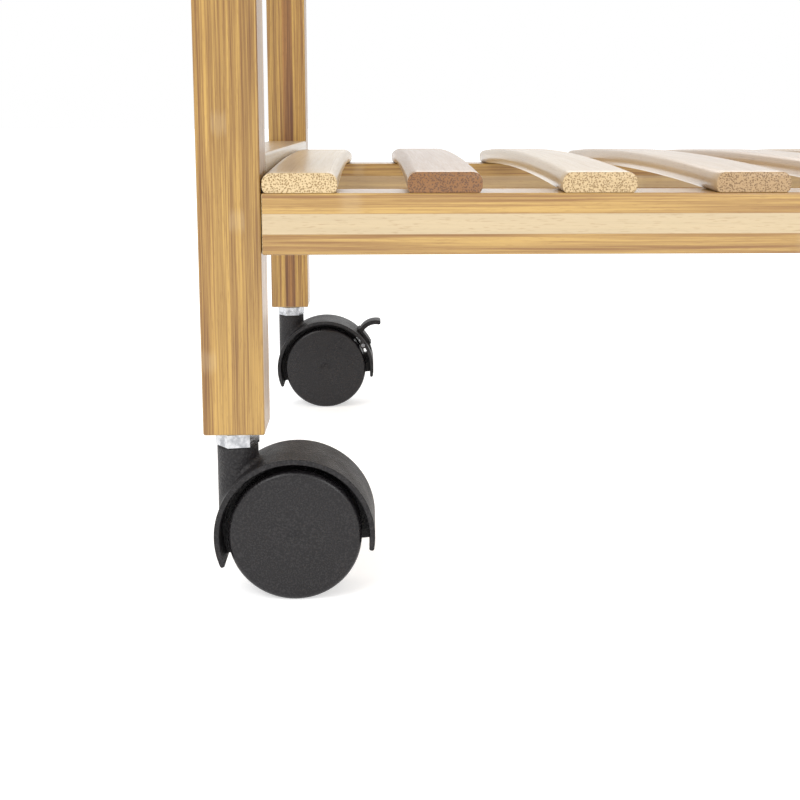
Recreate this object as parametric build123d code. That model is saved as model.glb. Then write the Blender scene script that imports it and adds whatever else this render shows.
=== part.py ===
from build123d import *
import os
from math import asin, cos, degrees, radians, sin, sqrt

# Rolling utility cart in laminated bamboo: four square posts, three slatted shelves and four
# twin-wheel swivel casters, the rear two with a brake lever.
# Millimetres. X runs along the width, Y from front to rear, Z up; the origin is on the floor,
# in the middle of the cart.

# Overall sizes
cart_width = 482.0  # over the outer faces of the posts
cart_depth = 330.0  # over the front and rear faces of the posts
cart_height = 760.0  # floor to the tops of the posts

# Posts
post_size = 24.0
post_arris = 0.9  # rounding of the long edges
post_head = 30.0  # post standing above the top shelf's side rails

# Shelves
shelf_names = ("bottom", "middle", "top")
bottom_shelf_rise = 94.2  # post foot to the top of the bottom shelf's front rail
rail_height = 23.5
rail_depth = 28.0
rail_arris = 0.8
rail_end_gap = 0.3  # front and rear rails to the posts
side_rail_height = 37.9
side_rail_arris = 1.0

# Slats, bowed upwards between the front and rear rails
slat_count = 8
slat_width = 28.6
slat_thickness = 9.0
slat_edge_radius = 3.8
slat_end_height = 7.9  # slat left above the rail after its seat is cut
slat_bow = 4.0  # rise of the middle over the ends
slat_side_gap = 0.5  # end slats to the side rails
slat_first_space = 26.4  # between each end slat and its neighbour
slat_sweep_margin = 1.0  # degrees swept past each end before it is cut off

# Wooden dowels and slat pins
dowel_diameter = 6.0
dowel_in_post = 12.0
dowel_in_rail = 15.0
dowel_end_space = 0.5
side_dowel_heights = (9.0, 29.0)  # above the foot of a side rail
rail_dowel_in_post = 8.0
rail_dowel_in_rail = 18.0
rail_dowel_setback = 19.0  # from the outer face of the rail
pin_diameter = 4.0
pin_in_rail = 7.0
pin_in_slat = 4.0

# Bolts that draw the front and rear rails to the posts
bolt_diameter = 6.0
bolt_clearance = 0.4  # on the diameter, through the post
bolt_head_diameter = 11.0
bolt_head_thickness = 3.6
bolt_head_recess = 4.2
bolt_head_space = 1.0  # on the diameter of the recess
bolt_setback = 7.5  # from the outer face of the rail
bolt_in_rail = 12.0
bolt_socket_flats = 4.0
bolt_socket_depth = 2.2
rail_insert_diameter = 9.0
rail_insert_length = 13.0

# Caster stem and the threaded insert in the post
stem_diameter = 8.0
stem_thread_length = 18.0
collar_flats = 15.0
collar_thickness = 5.7
collar_turn = 10.0  # degrees, a corner of the hexagon from +X
collar_chamfer = 0.5
insert_diameter = 11.0
insert_length = 20.0
insert_flange_diameter = 14.0
insert_flange_thickness = 0.6
insert_top_space = 3.0
grip_ring_diameter = 9.4
grip_ring_thickness = 0.9
grip_ring_inner_diameter = 7.2
grip_ring_depth = 6.0  # below the top of the hood's neck
grip_ring_space = 0.15
stem_end_gap = 0.4  # stem to the floor of the hood's bore

# Wheels and hood
wheel_diameter = 53.0
wheel_width = 10.6
wheel_gap = 6.4  # between the two wheels of a caster
wheel_shoulder = 2.2
wheel_inner_arris = 0.8
wheel_rim = 4.2
wheel_disc = 3.0
wheel_dome = 0.8
wheel_hub_diameter = 12.0
axle_diameter = 6.0
axle_in_wheel = 8.0
axle_end_space = 0.5
running_clearance = 0.05  # on the radius, for everything that turns on a shaft
hood_clearance = 3.25  # wheel tread to the inside of the hood
hood_wall = 2.0
hood_tip_rounding = 0.9
hood_width = 28.4
hood_front_angle = -10.6  # degrees above level, on the side away from the stem
hood_stem_angle = 203.0
web_width = 5.4
web_front_angle = -8.0
web_stem_angle = 200.0
web_boss_diameter = 13.0
trail = 23.1  # stem axis to axle axis
neck_diameter = 16.4
neck_rise = 2.75  # neck above the top of the hood
neck_foot = 4.0  # lowest part of the neck above the axle
neck_wheel_clearance = 1.85
neck_arris = 0.6
neck_root_fillet = 1.6  # between the neck and the hood's shell
collar_gap = 0.2
stem_bore_floor = 1.9  # left between the hood's bore and the room for the wheels

# Brake lever on the rear casters, in its released position
brake_corners = ("rear_left", "rear_right")
brake_pin_diameter = 2.4
brake_pin_inset = 2.35  # outside of the hood to the pin's centre
brake_pin_angle = 32.0
brake_boss_diameter = 4.4
brake_hub_diameter = 4.0
brake_lobe_reach = 2.75
brake_lobe_radius = 1.0
brake_travel = 25.0
lever_width = 12.0
lever_side_gap = 0.4
lever_hood_gap = 0.35
lever_thickness = 1.9
lever_foot_angle = 27.0
lever_top_angle = 49.0
lever_arm_foot_angle = 29.5
lever_arm_top_angle = 36.0
tail_radius = 11.0
tail_thickness = 2.7
tail_standoff = 6.48  # outside of the hood to the centre of the tail's curve
tail_centre_angle = 29.11
tail_root_angle = 158.0
tail_tip_angle = 80.0
window_foot_angle = 17.0  # slot in the hood that the lever works through
window_top_angle = 43.0
window_hub_space = 2.0
window_overrun = 1.0  # cut past the outside of the hood
match_tolerance = 0.01

# Sizes that follow from the ones above
half_width = cart_width / 2
half_depth = cart_depth / 2
wheel_radius = wheel_diameter / 2
hood_inner_radius = wheel_radius + hood_clearance
hood_outer_radius = hood_inner_radius + hood_wall
brake_pin_radius = hood_outer_radius - brake_pin_inset
tail_centre_radius = hood_outer_radius + tail_standoff
neck_top = wheel_radius + hood_outer_radius + neck_rise
collar_foot = neck_top + collar_gap
collar_top = collar_foot + collar_thickness
post_foot = collar_top + insert_flange_thickness
inner_half_width = half_width - post_size
inner_half_depth = half_depth - post_size
neck_room_radius = wheel_radius + neck_wheel_clearance
stem_bore_radius = neck_room_radius + stem_bore_floor
stem_bore_reach = trail - stem_diameter / 2
stem_bore_foot = wheel_radius + sqrt(stem_bore_radius ** 2 - stem_bore_reach ** 2)
stem_journal_length = collar_foot - stem_bore_foot - stem_end_gap
bottom_rail_top = post_foot + bottom_shelf_rise
side_rail_lip = side_rail_height - rail_height
top_rail_top = cart_height - post_head - side_rail_lip
shelf_step = (top_rail_top - bottom_rail_top) / (len(shelf_names) - 1)
rail_tops = {}
for shelf_index, shelf_name in enumerate(shelf_names):
    rail_tops[shelf_name] = bottom_rail_top + shelf_index * shelf_step

slat_span = 2 * (inner_half_width - slat_side_gap)
inner_slat_count = slat_count - 2
inner_slat_room = slat_span - slat_count * slat_width - 2 * slat_first_space
inner_slat_space = inner_slat_room / (inner_slat_count - 1)
slat_centres = [-slat_span / 2 + slat_width / 2]
slat_centres.append(slat_centres[0] + slat_width + slat_first_space)
for inner_index in range(inner_slat_count - 1):
    slat_centres.append(slat_centres[-1] + slat_width + inner_slat_space)
slat_centres.append(slat_centres[-1] + slat_width + slat_first_space)

corners = {
    "front_left": (-1, -1),
    "front_right": (1, -1),
    "rear_left": (-1, 1),
    "rear_right": (1, 1),
}
post_axis_x = half_width - post_size / 2
post_axis_y = half_depth - post_size / 2
LENGTHWISE = (Align.CENTER, Align.CENTER, Align.MIN)


def block(low, high):
    """A box between two corners."""
    size = [b - a for a, b in zip(low, high)]
    return Pos(*low) * Box(*size, align=(Align.MIN, Align.MIN, Align.MIN))


def rod(start, direction, length, radius):
    """A round bar that starts at a point and runs along a direction."""
    return Plane(origin=start, z_dir=direction) * Cylinder(radius, length, align=LENGTHWISE)


def tube(start, direction, length, outer_radius, inner_radius):
    """A round bar with a hole right through it."""
    bar = rod(start, direction, length, outer_radius)
    return bar - rod(start, direction, length, inner_radius)


def all_solids(shapes):
    """One compound of every separate solid in a list of shapes."""
    solids = []
    for shape in shapes:
        solids.extend(shape.solids())
    return Compound(children=solids)


# Joinery: each function gives the bars that fill a row of joints, grown by a clearance where a
# hole is cut and left at size where the piece itself is made.

def side_dowel_bars(x_side, end_side, shelf, end_space=0.0):
    """Dowels between a side rail's end and its post."""
    bars = []
    foot = rail_tops[shelf] - rail_height
    into_post = dowel_in_post + end_space
    for height in side_dowel_heights:
        start_y = end_side * (inner_half_depth - dowel_in_rail - end_space)
        start = (x_side * post_axis_x, start_y, foot + height)
        length = dowel_in_rail + end_space + into_post
        bars.append(rod(start, (0, end_side, 0), length, dowel_diameter / 2))
    return bars


def rail_dowel_bar(x_side, y_side, shelf, end_space=0.0):
    """The dowel that stops a front or rear rail turning on its bolt."""
    start_x = x_side * (inner_half_width - rail_dowel_in_rail - end_space)
    start_y = y_side * (half_depth - rail_dowel_setback)
    length = rail_dowel_in_rail + rail_dowel_in_post + 2 * end_space
    start = (start_x, start_y, rail_tops[shelf] - rail_height / 2)
    return rod(start, (x_side, 0, 0), length, dowel_diameter / 2)


def bolt_line(x_side, y_side, shelf):
    """Where a rail bolt's axis meets the outer face of its post."""
    level = rail_tops[shelf] - rail_height / 2
    return (x_side * half_width, y_side * (half_depth - bolt_setback), level)


def bolt_holes(x_side, y_side, shelf):
    """Clearance hole and head recess for a rail bolt in its post."""
    start = bolt_line(x_side, y_side, shelf)
    inward = (-x_side, 0, 0)
    shank = rod(start, inward, post_size, (bolt_diameter + bolt_clearance) / 2)
    recess = rod(start, inward, bolt_head_recess, (bolt_head_diameter + bolt_head_space) / 2)
    return shank + recess


def rail_bolt(x_side, y_side, shelf):
    """A socket-head bolt, its head at the bottom of the recess."""
    face_x, y, z = bolt_line(x_side, y_side, shelf)
    inward = (-x_side, 0, 0)
    head_x = face_x - x_side * (bolt_head_recess - bolt_head_thickness)
    shank_x = face_x - x_side * bolt_head_recess
    head = rod((head_x, y, z), inward, bolt_head_thickness, bolt_head_diameter / 2)
    shank_length = post_size - bolt_head_recess + bolt_in_rail
    shank = rod((shank_x, y, z), inward, shank_length, bolt_diameter / 2)
    socket_face = Plane(origin=(head_x, y, z), z_dir=inward)
    socket_outline = RegularPolygon(bolt_socket_flats / 2, 6, major_radius=False)
    socket = extrude(socket_face * socket_outline, bolt_socket_depth)
    return head + shank - socket


def rail_insert_body(x_side, y_side, shelf, radius):
    """The room of a threaded insert in the end of a rail."""
    _, y, z = bolt_line(x_side, y_side, shelf)
    start = (x_side * (inner_half_width - rail_end_gap), y, z)
    return rod(start, (-x_side, 0, 0), rail_insert_length, radius)


def slat_pin(centre_x, y_side, shelf, end_space=0.0):
    """A wooden pin that holds one end of a slat on its rail."""
    top = rail_tops[shelf]
    start = (centre_x, y_side * (half_depth - rail_depth / 2), top - pin_in_rail - end_space)
    return rod(start, (0, 0, 1), pin_in_rail + pin_in_slat + 2 * end_space, pin_diameter / 2)


# The wooden frame

def post(x_side, y_side):
    """A corner post, drilled for its rails and for its caster's insert."""
    centre = (x_side * post_axis_x, y_side * post_axis_y, post_foot)
    length = cart_height - post_foot
    body = Pos(*centre) * Box(post_size, post_size, length, align=LENGTHWISE)
    body = fillet(body.edges(), post_arris)
    body -= rod(centre, (0, 0, 1), insert_length + insert_top_space, insert_diameter / 2)
    for shelf in shelf_names:
        body -= bolt_holes(x_side, y_side, shelf)
        body -= rail_dowel_bar(x_side, y_side, shelf, dowel_end_space)
        for bar in side_dowel_bars(x_side, y_side, shelf, dowel_end_space):
            body -= bar
    return body


def long_rail(y_side, shelf):
    """A front or rear rail, with its slats' pin holes and the bores in its ends."""
    reach = inner_half_width - rail_end_gap
    top = rail_tops[shelf]
    near = y_side * half_depth
    far = y_side * (half_depth - rail_depth)
    low = (-reach, min(near, far), top - rail_height)
    high = (reach, max(near, far), top)
    body = fillet(block(low, high).edges(), rail_arris)
    for x_side in (-1, 1):
        body -= rail_insert_body(x_side, y_side, shelf, rail_insert_diameter / 2)
        body -= rail_dowel_bar(x_side, y_side, shelf, dowel_end_space)
    for centre_x in slat_centres:
        body -= slat_pin(centre_x, y_side, shelf, dowel_end_space)
    return body


def side_rail(x_side, shelf):
    """A left or right rail, which stands above the slats."""
    foot = rail_tops[shelf] - rail_height
    near = x_side * half_width
    far = x_side * inner_half_width
    low = (min(near, far), -inner_half_depth, foot)
    high = (max(near, far), inner_half_depth, foot + side_rail_height)
    body = block(low, high)
    body = fillet(body.edges().filter_by(Axis.Y), side_rail_arris)
    for end_side in (-1, 1):
        for bar in side_dowel_bars(x_side, end_side, shelf, dowel_end_space):
            body -= bar
    return body


def slat(centre_x, shelf):
    """A bowed slat with bullnosed edges, its ends seated flat on the rails."""
    seat = rail_tops[shelf]
    crown = seat + slat_end_height + slat_bow
    bow_radius = cart_depth ** 2 / (8 * slat_bow) + slat_bow / 2
    half_angle = degrees(asin(half_depth / bow_radius)) + slat_sweep_margin
    section = RectangleRounded(slat_width, slat_thickness, slat_edge_radius)
    middle_height = crown - slat_thickness / 2
    middle = Plane(origin=(centre_x, 0, middle_height), x_dir=(1, 0, 0), z_dir=(0, -1, 0))
    bow_axis = Axis((centre_x, 0, crown - bow_radius), (1, 0, 0))
    bar = revolve(middle * section, bow_axis, revolution_arc=2 * half_angle)
    bar = bar.rotate(bow_axis, -half_angle)
    low = (centre_x - slat_width, -half_depth, seat)
    high = (centre_x + slat_width, half_depth, crown + slat_thickness)
    body = bar & block(low, high)
    for y_side in (-1, 1):
        body -= slat_pin(centre_x, y_side, shelf, dowel_end_space)
    return body


# Casters, made with the stem's axis at X = 0 and the wheels trailing towards +X

def ring_sector(inner_radius, outer_radius, start_angle, end_angle):
    """A flat ring sector in the caster's side view, with its centre on the axle."""
    corners_at = []
    for radius, angle in (
        (inner_radius, start_angle),
        (outer_radius, start_angle),
        (outer_radius, end_angle),
        (inner_radius, end_angle),
    ):
        corners_at.append((radius * cos(radians(angle)), radius * sin(radians(angle))))
    sweep = end_angle - start_angle
    outline = Wire([
        Line(corners_at[0], corners_at[1]),
        CenterArc((0, 0), outer_radius, start_angle, sweep),
        Line(corners_at[2], corners_at[3]),
        CenterArc((0, 0), inner_radius, start_angle, sweep),
    ])
    return Sketch() + Face(outline)


def side_view(sketch, width, centre=(trail, wheel_radius)):
    """Extrude a side-view outline by a width about the caster's middle plane."""
    side = Plane(origin=(centre[0], 0, centre[1]), x_dir=(1, 0, 0), z_dir=(0, -1, 0))
    return extrude(side * sketch, width / 2, both=True)


def polar(radius, angle):
    """A point in the side view, from the axle."""
    return (radius * cos(radians(angle)), radius * sin(radians(angle)))


def caster_stem():
    """Threaded stem with a hex collar, and a plain journal with a ring groove below it."""
    outline = RegularPolygon(collar_flats / 2, 6, major_radius=False, rotation=collar_turn)
    collar = extrude(Pos(0, 0, collar_foot) * outline, collar_thickness)
    collar = chamfer(collar.edges().group_by(Axis.Z)[-1], collar_chamfer)
    thread = rod((0, 0, collar_top), (0, 0, 1), stem_thread_length, stem_diameter / 2)
    journal = rod((0, 0, collar_foot), (0, 0, -1), stem_journal_length, stem_diameter / 2)
    groove_start = (0, 0, neck_top - grip_ring_depth)
    groove_radius = grip_ring_inner_diameter / 2
    groove = tube(groove_start, (0, 0, 1), grip_ring_thickness, stem_diameter, groove_radius)
    return collar + thread + journal - groove


def grip_ring():
    """Ring in the stem's groove that keeps the hood on the stem."""
    start = (0, 0, neck_top - grip_ring_depth)
    outer_radius = grip_ring_diameter / 2
    inner_radius = grip_ring_inner_diameter / 2
    return tube(start, (0, 0, 1), grip_ring_thickness, outer_radius, inner_radius)


def stem_insert():
    """Flanged threaded insert in the foot of a post."""
    flange = rod((0, 0, collar_top), (0, 0, 1), insert_flange_thickness, insert_flange_diameter / 2)
    barrel = rod((0, 0, post_foot), (0, 0, 1), insert_length, insert_diameter / 2)
    hole_length = insert_flange_thickness + insert_length
    hole = rod((0, 0, collar_top), (0, 0, 1), hole_length, stem_diameter / 2)
    return flange + barrel - hole


def brake_window():
    """Room in the hood for the brake lever's hub and arm."""
    pin_at = polar(brake_pin_radius, brake_pin_angle)
    slot_foot = wheel_radius - wheel_rim
    slot_top = hood_outer_radius + window_overrun
    slot = ring_sector(slot_foot, slot_top, window_foot_angle, window_top_angle)
    room = Sketch() + slot + Pos(*pin_at) * Circle(brake_hub_diameter / 2 + window_hub_space)
    return side_view(room, lever_width + 2 * lever_side_gap)


def neck_root_edges(body):
    """The edges where the neck stands out of the hood's shell."""
    found = []
    for edge in body.edges():
        middle = edge.position_at(0.5)
        from_stem = sqrt(middle.X ** 2 + middle.Y ** 2)
        from_axle = sqrt((middle.X - trail) ** 2 + (middle.Z - wheel_radius) ** 2)
        on_neck = abs(from_stem - neck_diameter / 2) < match_tolerance
        if on_neck and abs(from_axle - hood_outer_radius) < match_tolerance:
            found.append(edge)
    return found


def caster_hood(with_brake):
    """Fender over both wheels, with the neck, the middle web and the axle's boss."""
    shell = ring_sector(hood_inner_radius, hood_outer_radius, hood_front_angle, hood_stem_angle)
    shell = fillet(shell.vertices(), hood_tip_rounding)
    body = side_view(shell, hood_width)
    web_radius = hood_inner_radius + hood_wall / 2
    web_sweep = web_stem_angle - web_front_angle
    web_half = Face(Wire([
        CenterArc((0, 0), web_radius, web_front_angle, web_sweep),
        Line(polar(web_radius, web_stem_angle), polar(web_radius, web_front_angle)),
    ]))
    web = Sketch() + web_half + Circle(web_boss_diameter / 2)
    body += side_view(web, web_width)
    neck_low = wheel_radius + neck_foot
    neck = rod((0, 0, neck_low), (0, 0, 1), neck_top - neck_low, neck_diameter / 2)
    neck = fillet(neck.edges().group_by(Axis.Z)[-1], neck_arris)
    wheel_room = side_view(Sketch() + Circle(neck_room_radius), hood_width)
    body += neck - wheel_room
    body = fillet(neck_root_edges(body), neck_root_fillet)
    bore_length = neck_top - stem_bore_foot
    body -= rod((0, 0, stem_bore_foot), (0, 0, 1), bore_length, stem_diameter / 2 + running_clearance)
    ring_room_foot = neck_top - grip_ring_depth - grip_ring_space
    ring_room_height = grip_ring_thickness + 2 * grip_ring_space
    ring_room_radius = grip_ring_diameter / 2 + grip_ring_space
    body -= rod((0, 0, ring_room_foot), (0, 0, 1), ring_room_height, ring_room_radius)
    axle_start = (trail, -web_width, wheel_radius)
    body -= rod(axle_start, (0, 1, 0), 2 * web_width, axle_diameter / 2)
    if with_brake:
        pin_x, pin_z = polar(brake_pin_radius, brake_pin_angle)
        boss = Sketch() + Pos(pin_x, pin_z) * Circle(brake_boss_diameter / 2)
        body += side_view(boss, hood_width)
        body -= brake_window()
        pin_start = (trail + pin_x, -hood_width, wheel_radius + pin_z)
        body -= rod(pin_start, (0, 1, 0), 2 * hood_width, brake_pin_diameter / 2)
    return body


def caster_axle():
    """Steel axle, pressed in the web's boss."""
    length = wheel_gap + 2 * axle_in_wheel
    return rod((trail, -length / 2, wheel_radius), (0, 1, 0), length, axle_diameter / 2)


def tread_corners(sketch):
    """The corners of a wheel's half section that lie on the tread, inner one first."""
    on_tread = sketch.vertices().filter_by(lambda v: abs(v.X - wheel_radius) < match_tolerance)
    return on_tread.sort_by(Axis.Y)


def caster_wheel(side):
    """A closed-face wheel on one side of the web, hollow on the side that faces the web."""
    inner = wheel_gap / 2
    outer = inner + wheel_width
    pocket_floor = outer - wheel_disc
    hub_radius = wheel_hub_diameter / 2
    bore_radius = axle_diameter / 2 + running_clearance
    bore_floor = inner + axle_in_wheel + axle_end_space
    edge = outer - wheel_dome
    dome_radius = (wheel_radius ** 2 + wheel_dome ** 2) / (2 * wheel_dome)
    dome_angle = degrees(asin(wheel_radius / dome_radius))
    face_arc = CenterArc((0, outer - dome_radius), dome_radius, 90 - dome_angle, dome_angle)
    outline = Face(Wire([
        Line((0, outer), (0, bore_floor)),
        Line((0, bore_floor), (bore_radius, bore_floor)),
        Line((bore_radius, bore_floor), (bore_radius, inner)),
        Line((bore_radius, inner), (hub_radius, inner)),
        Line((hub_radius, inner), (hub_radius, pocket_floor)),
        Line((hub_radius, pocket_floor), (wheel_radius - wheel_rim, pocket_floor)),
        Line((wheel_radius - wheel_rim, pocket_floor), (wheel_radius - wheel_rim, inner)),
        Line((wheel_radius - wheel_rim, inner), (wheel_radius, inner)),
        Line((wheel_radius, inner), (wheel_radius, edge)),
        face_arc,
    ]))
    sketch = Sketch() + outline
    sketch = fillet(tread_corners(sketch)[-1], wheel_shoulder)
    sketch = fillet(tread_corners(sketch)[0], wheel_inner_arris)
    turned = revolve(sketch, Axis.Y)
    if side < 0:
        turned = Rot(0, 0, 180) * turned
    return Pos(trail, 0, wheel_radius) * turned


def brake_pin():
    """Steel pin across the hood that the brake lever turns on."""
    pin_x, pin_z = polar(brake_pin_radius, brake_pin_angle)
    start = (trail + pin_x, -hood_width / 2, wheel_radius + pin_z)
    return rod(start, (0, 1, 0), hood_width, brake_pin_diameter / 2)


def brake_lever():
    """Foot lever: hub and lobe inside the hood, a curved tail outside it."""
    pin_at = polar(brake_pin_radius, brake_pin_angle)
    lobe_angle = 180 + brake_pin_angle + brake_travel
    lobe_offset = polar(brake_lobe_reach - brake_lobe_radius, lobe_angle)
    inner_radius = hood_outer_radius + lever_hood_gap
    outer_radius = inner_radius + lever_thickness
    hub = Pos(*pin_at) * Circle(brake_hub_diameter / 2)
    lobe = Pos(pin_at[0] + lobe_offset[0], pin_at[1] + lobe_offset[1]) * Circle(brake_lobe_radius)
    arm = ring_sector(brake_pin_radius, outer_radius, lever_arm_foot_angle, lever_arm_top_angle)
    plate = ring_sector(inner_radius, outer_radius, lever_foot_angle, lever_top_angle)
    tail_inside = tail_radius - tail_thickness / 2
    tail_outside = tail_radius + tail_thickness / 2
    tail_ring = ring_sector(tail_inside, tail_outside, tail_tip_angle, tail_root_angle)
    tail_tip = Pos(*polar(tail_radius, tail_tip_angle)) * Circle(tail_thickness / 2)
    tail = Pos(*polar(tail_centre_radius, tail_centre_angle)) * (Sketch() + tail_ring + tail_tip)
    profile = Sketch() + hub + lobe + arm + plate + tail
    body = side_view(profile, lever_width)
    pin_start = (trail + pin_at[0], -lever_width, wheel_radius + pin_at[1])
    bore_radius = brake_pin_diameter / 2 + running_clearance
    return body - rod(pin_start, (0, 1, 0), 2 * lever_width, bore_radius)


def place_caster(shape, x_side, y_side):
    """Put a caster piece under its post, trailing towards the middle of the cart."""
    turn = 0 if x_side < 0 else 180
    return Pos(x_side * post_axis_x, y_side * post_axis_y, 0) * Rot(0, 0, turn) * shape


pieces = {}

for corner, (x_side, y_side) in corners.items():
    pieces[corner + "_post"] = post(x_side, y_side)

for shelf in shelf_names:
    pieces[shelf + "_front_rail"] = long_rail(-1, shelf)
    pieces[shelf + "_rear_rail"] = long_rail(1, shelf)
    pieces[shelf + "_left_rail"] = side_rail(-1, shelf)
    pieces[shelf + "_right_rail"] = side_rail(1, shelf)
    shelf_slats = []
    for centre_x in slat_centres:
        shelf_slats.append(slat(centre_x, shelf))
    if shelf == "bottom":
        for number, one_slat in enumerate(shelf_slats, start=1):
            pieces[shelf + "_slat_" + str(number)] = one_slat
    else:
        pieces[shelf + "_slats"] = all_solids(shelf_slats)

bolts = []
rail_inserts = []
rail_dowels = []
side_dowels = []
slat_pins = []
for shelf in shelf_names:
    for x_side, y_side in corners.values():
        bolts.append(rail_bolt(x_side, y_side, shelf))
        sleeve = rail_insert_body(x_side, y_side, shelf, rail_insert_diameter / 2)
        sleeve -= rail_insert_body(x_side, y_side, shelf, bolt_diameter / 2)
        rail_inserts.append(sleeve)
        rail_dowels.append(rail_dowel_bar(x_side, y_side, shelf))
        side_dowels.extend(side_dowel_bars(x_side, y_side, shelf))
    for centre_x in slat_centres:
        slat_pins.append(slat_pin(centre_x, -1, shelf))
        slat_pins.append(slat_pin(centre_x, 1, shelf))
pieces["rail_bolts"] = all_solids(bolts)
pieces["rail_inserts"] = all_solids(rail_inserts)
pieces["rail_dowels"] = all_solids(rail_dowels)
pieces["side_rail_dowels"] = all_solids(side_dowels)
pieces["slat_pins"] = all_solids(slat_pins)

inserts = []
rings = []
for corner, (x_side, y_side) in corners.items():
    has_brake = corner in brake_corners
    inserts.append(place_caster(stem_insert(), x_side, y_side))
    rings.append(place_caster(grip_ring(), x_side, y_side))
    pieces[corner + "_caster_stem"] = place_caster(caster_stem(), x_side, y_side)
    pieces[corner + "_caster_hood"] = place_caster(caster_hood(has_brake), x_side, y_side)
    pieces[corner + "_caster_axle"] = place_caster(caster_axle(), x_side, y_side)
    turned = 1 if x_side < 0 else -1
    pieces[corner + "_front_wheel"] = place_caster(caster_wheel(-turned), x_side, y_side)
    pieces[corner + "_rear_wheel"] = place_caster(caster_wheel(turned), x_side, y_side)
    if has_brake:
        pieces[corner + "_brake_lever"] = place_caster(brake_lever(), x_side, y_side)
        pieces[corner + "_brake_pin"] = place_caster(brake_pin(), x_side, y_side)
pieces["caster_inserts"] = all_solids(inserts)
pieces["stem_grip_rings"] = all_solids(rings)

os.makedirs("parts", exist_ok=True)
for name, shape in pieces.items():
    export_step(shape, "parts/" + name + ".step")
print(len(pieces), "nodes")
print("rail tops", rail_tops)
print("slat spaces", slat_first_space, inner_slat_space)
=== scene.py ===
import logging
import math
from dataclasses import dataclass, field
from enum import Enum

import bpy
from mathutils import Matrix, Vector


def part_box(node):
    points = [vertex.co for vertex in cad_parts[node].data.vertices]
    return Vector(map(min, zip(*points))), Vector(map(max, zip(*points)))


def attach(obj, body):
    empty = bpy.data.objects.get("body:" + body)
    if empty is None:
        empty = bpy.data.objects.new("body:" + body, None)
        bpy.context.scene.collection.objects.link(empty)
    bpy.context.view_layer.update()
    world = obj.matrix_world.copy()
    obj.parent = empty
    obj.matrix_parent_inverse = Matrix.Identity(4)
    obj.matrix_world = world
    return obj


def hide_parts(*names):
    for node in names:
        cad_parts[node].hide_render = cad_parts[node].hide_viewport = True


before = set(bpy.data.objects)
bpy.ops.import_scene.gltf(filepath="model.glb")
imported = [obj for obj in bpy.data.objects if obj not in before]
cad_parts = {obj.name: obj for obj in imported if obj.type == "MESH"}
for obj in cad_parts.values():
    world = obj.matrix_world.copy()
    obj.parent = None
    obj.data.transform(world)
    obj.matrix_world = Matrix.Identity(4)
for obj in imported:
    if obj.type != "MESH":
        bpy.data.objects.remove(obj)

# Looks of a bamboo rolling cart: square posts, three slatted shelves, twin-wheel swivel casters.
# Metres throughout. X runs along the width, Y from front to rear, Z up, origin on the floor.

LOG = logging.getLogger("rolling_cart")
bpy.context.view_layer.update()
MM = 0.001
TONE = "slat_tone"

Colour = tuple[float, float, float]
Point = tuple[float, float, float]
Socket = bpy.types.NodeSocket


class Grain(Enum):
    """Row axes that run along the fibres of a piece, across its strips and through them."""

    ALONG_X = (0, 2, 1)
    ALONG_Y_FLAT = (1, 0, 2)
    ALONG_Y_UPRIGHT = (1, 2, 0)
    ALONG_Z = (2, 0, 1)


class Shelf(Enum):
    """The three shelves, by the word their nodes start with."""

    BOTTOM = "bottom"
    MIDDLE = "middle"
    TOP = "top"


class Corner(Enum):
    """The four corners, by the words their nodes start with."""

    FRONT_LEFT = "front_left"
    FRONT_RIGHT = "front_right"
    REAR_LEFT = "rear_left"
    REAR_RIGHT = "rear_right"


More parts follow.
